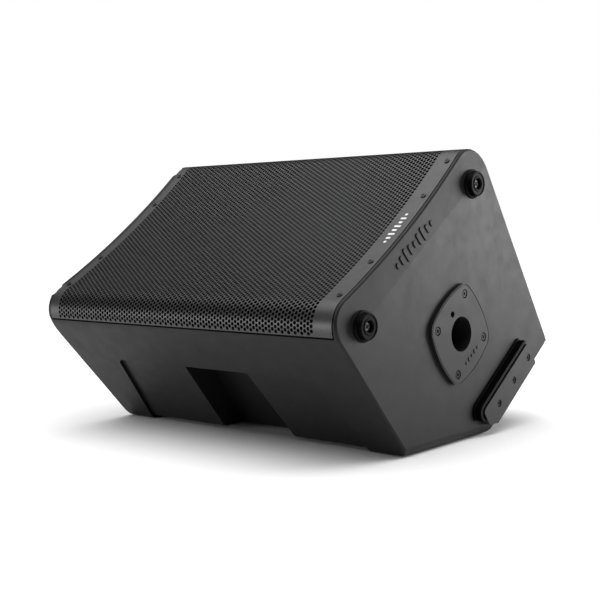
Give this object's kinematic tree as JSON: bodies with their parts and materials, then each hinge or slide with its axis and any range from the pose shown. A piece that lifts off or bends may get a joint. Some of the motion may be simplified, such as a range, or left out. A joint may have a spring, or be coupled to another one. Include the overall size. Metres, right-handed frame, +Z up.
{
  "type": "stage monitor wedge",
  "caption": "Powered wedge stage monitor with a curved perforated grille, hand pocket, pole socket, end feet, woofer, horn and rear amplifier panel.",
  "frame": {"origin": "on the floor under the middle of the whole wedge", "axes": "+X along the cabinet, out of the end face with the pole socket; -Y to the side that the grille leans towards; +Z up"},
  "size_m": [0.4386, 0.3622, 0.2983],
  "materials": {
    "cabinet_plastic": "fine leather-like moulded texture, satin",
    "baffle_plastic": "matte",
    "grille_steel": "black powder coat, satin",
    "black_foam": "open foam",
    "black_screw": "black zinc",
    "zinc_screw": "zinc plated",
    "badge_white": "printed white",
    "black_rubber": "satin rubber",
    "clamp_plastic": "satin",
    "woofer_frame": "black enamel",
    "ferrite": "dark ferrite",
    "plated_steel": "zinc plated",
    "spider_cloth": "treated cloth",
    "cone_paper": "pressed paper",
    "copper_wire": "enamelled copper",
    "horn_plastic": "satin",
    "driver_metal": "cast, satin",
    "diaphragm_metal": "thin foil",
    "lining_wool": "felted",
    "panel_metal": "black powder coat",
    "heat_sink_metal": "black anodised",
    "circuit_board": "solder resist",
    "capacitor_sleeve": "shrink sleeve",
    "lead_sleeve": "flexible sleeve",
    "socket_plastic": "satin",
    "control_metal": "satin",
    "rocker_red": "gloss",
    "knob_plastic": "soft touch",
    "light_lens": "clear lens"
  },
  "bodies": {
    "cabinet": {"rear_shell": "cabinet_plastic", "hand_pocket": "cabinet_plastic", "panel_frame": "cabinet_plastic", "front_baffle": "baffle_plastic", "grille": "grille_steel", "grille_foam": "black_foam", "grille_screws": "black_screw", "grille_badge": "badge_white", "pole_socket": "cabinet_plastic", "pole_socket_screws": "zinc_screw", "round_feet": "black_rubber", "foot_screws": "black_screw", "rail_foot_rubber": "black_rubber", "rail_foot_plate": "clamp_plastic", "rail_foot_screws": "zinc_screw", "case_screws": "zinc_screw", "woofer_gasket": "black_foam", "woofer_basket": "woofer_frame", "woofer_top_plate": "plated_steel", "woofer_magnet": "ferrite", "woofer_yoke": "plated_steel", "woofer_spider": "spider_cloth", "woofer_surround": "black_rubber", "woofer_screws": "black_screw", "horn_waveguide": "horn_plastic", "horn_screws": "black_screw", "hf_driver_body": "driver_metal", "hf_magnet": "ferrite", "hf_suspension": "black_rubber", "hf_rear_cover": "driver_metal", "port_tubes": "horn_plastic", "acoustic_lining": "lining_wool", "amp_panel": "panel_metal", "panel_screws": "black_screw", "heat_sink": "heat_sink_metal", "amp_board": "circuit_board", "board_posts": "plated_steel", "transformer": "copper_wire", "capacitors": "capacitor_sleeve", "speaker_leads": "lead_sleeve", "input_sockets": "socket_plastic", "mix_output_socket": "socket_plastic", "aux_socket": "socket_plastic", "mains_inlet": "socket_plastic", "power_switch_body": "socket_plastic", "potentiometers": "control_metal", "push_switch_body": "control_metal", "status_lights": "light_lens"},
    "woofer_cone_assembly": {"woofer_cone": "cone_paper", "woofer_dust_cap": "cone_paper", "woofer_voice_coil": "copper_wire"},
    "hf_diaphragm": {"hf_diaphragm": "diaphragm_metal"},
    "gain_knob_a": {"gain_knob_a": "knob_plastic"},
    "gain_knob_b": {"gain_knob_b": "knob_plastic"},
    "gain_knob_aux": {"gain_knob_aux": "knob_plastic"},
    "preset_knob": {"preset_knob": "knob_plastic"},
    "power_rocker": {"power_rocker": "rocker_red"},
    "mic_line_button": {"mic_line_button": "knob_plastic"},
    "input_latch_a": {"input_latch_a": "knob_plastic"},
    "input_latch_b": {"input_latch_b": "knob_plastic"}
  },
  "joints": [
    {"name": "woofer_excursion", "type": "slide", "parent": "cabinet", "child": "woofer_cone_assembly", "axis": [0, -0.5771, 0.8166], "range_m": [-0.006, 0.006], "stiffness_N_per_m": 2500, "deforming": ["woofer_surround", "woofer_spider"]},
    {"name": "hf_diaphragm_excursion", "type": "slide", "parent": "cabinet", "child": "hf_diaphragm", "axis": [0, -0.5771, 0.8166], "range_m": [-0.0003, 0.0003], "stiffness_N_per_m": 150, "deforming": ["hf_suspension"]},
    {"name": "gain_knob_a_turn", "type": "hinge", "parent": "cabinet", "child": "gain_knob_a", "pos_m": [-0.10775, 0.10963, 0.05308], "axis": [0, 0.5771, -0.8166], "range_deg": [-140, 140]},
    {"name": "gain_knob_b_turn", "type": "hinge", "parent": "cabinet", "child": "gain_knob_b", "pos_m": [-0.07375, 0.10963, 0.05308], "axis": [0, 0.5771, -0.8166], "range_deg": [-140, 140]},
    {"name": "gain_knob_aux_turn", "type": "hinge", "parent": "cabinet", "child": "gain_knob_aux", "pos_m": [-0.03975, 0.10963, 0.05308], "axis": [0, 0.5771, -0.8166], "range_deg": [-140, 140]},
    {"name": "preset_knob_turn", "type": "hinge", "parent": "cabinet", "child": "preset_knob", "pos_m": [-0.00775, 0.10963, 0.05308], "axis": [0, 0.5771, -0.8166], "range_deg": [-150, 150]},
    {"name": "power_rocker_tilt", "type": "hinge", "parent": "cabinet", "child": "power_rocker", "pos_m": [-0.03975, 0.08725, 0.0397], "axis": [0, 0.8166, 0.5771], "range_deg": [0, 16]},
    {"name": "mic_line_press", "type": "slide", "parent": "cabinet", "child": "mic_line_button", "axis": [0, -0.5771, 0.8166], "range_m": [0, 0.0018], "stiffness_N_per_m": 120, "springref_m": -0.0008},
    {"name": "input_latch_a_press", "type": "slide", "parent": "cabinet", "child": "input_latch_a", "axis": [0, -0.5771, 0.8166], "range_m": [0, 0.002], "stiffness_N_per_m": 120, "springref_m": -0.0008},
    {"name": "input_latch_b_press", "type": "slide", "parent": "cabinet", "child": "input_latch_b", "axis": [0, -0.5771, 0.8166], "range_m": [0, 0.002], "stiffness_N_per_m": 120, "springref_m": -0.0008}
  ]
}
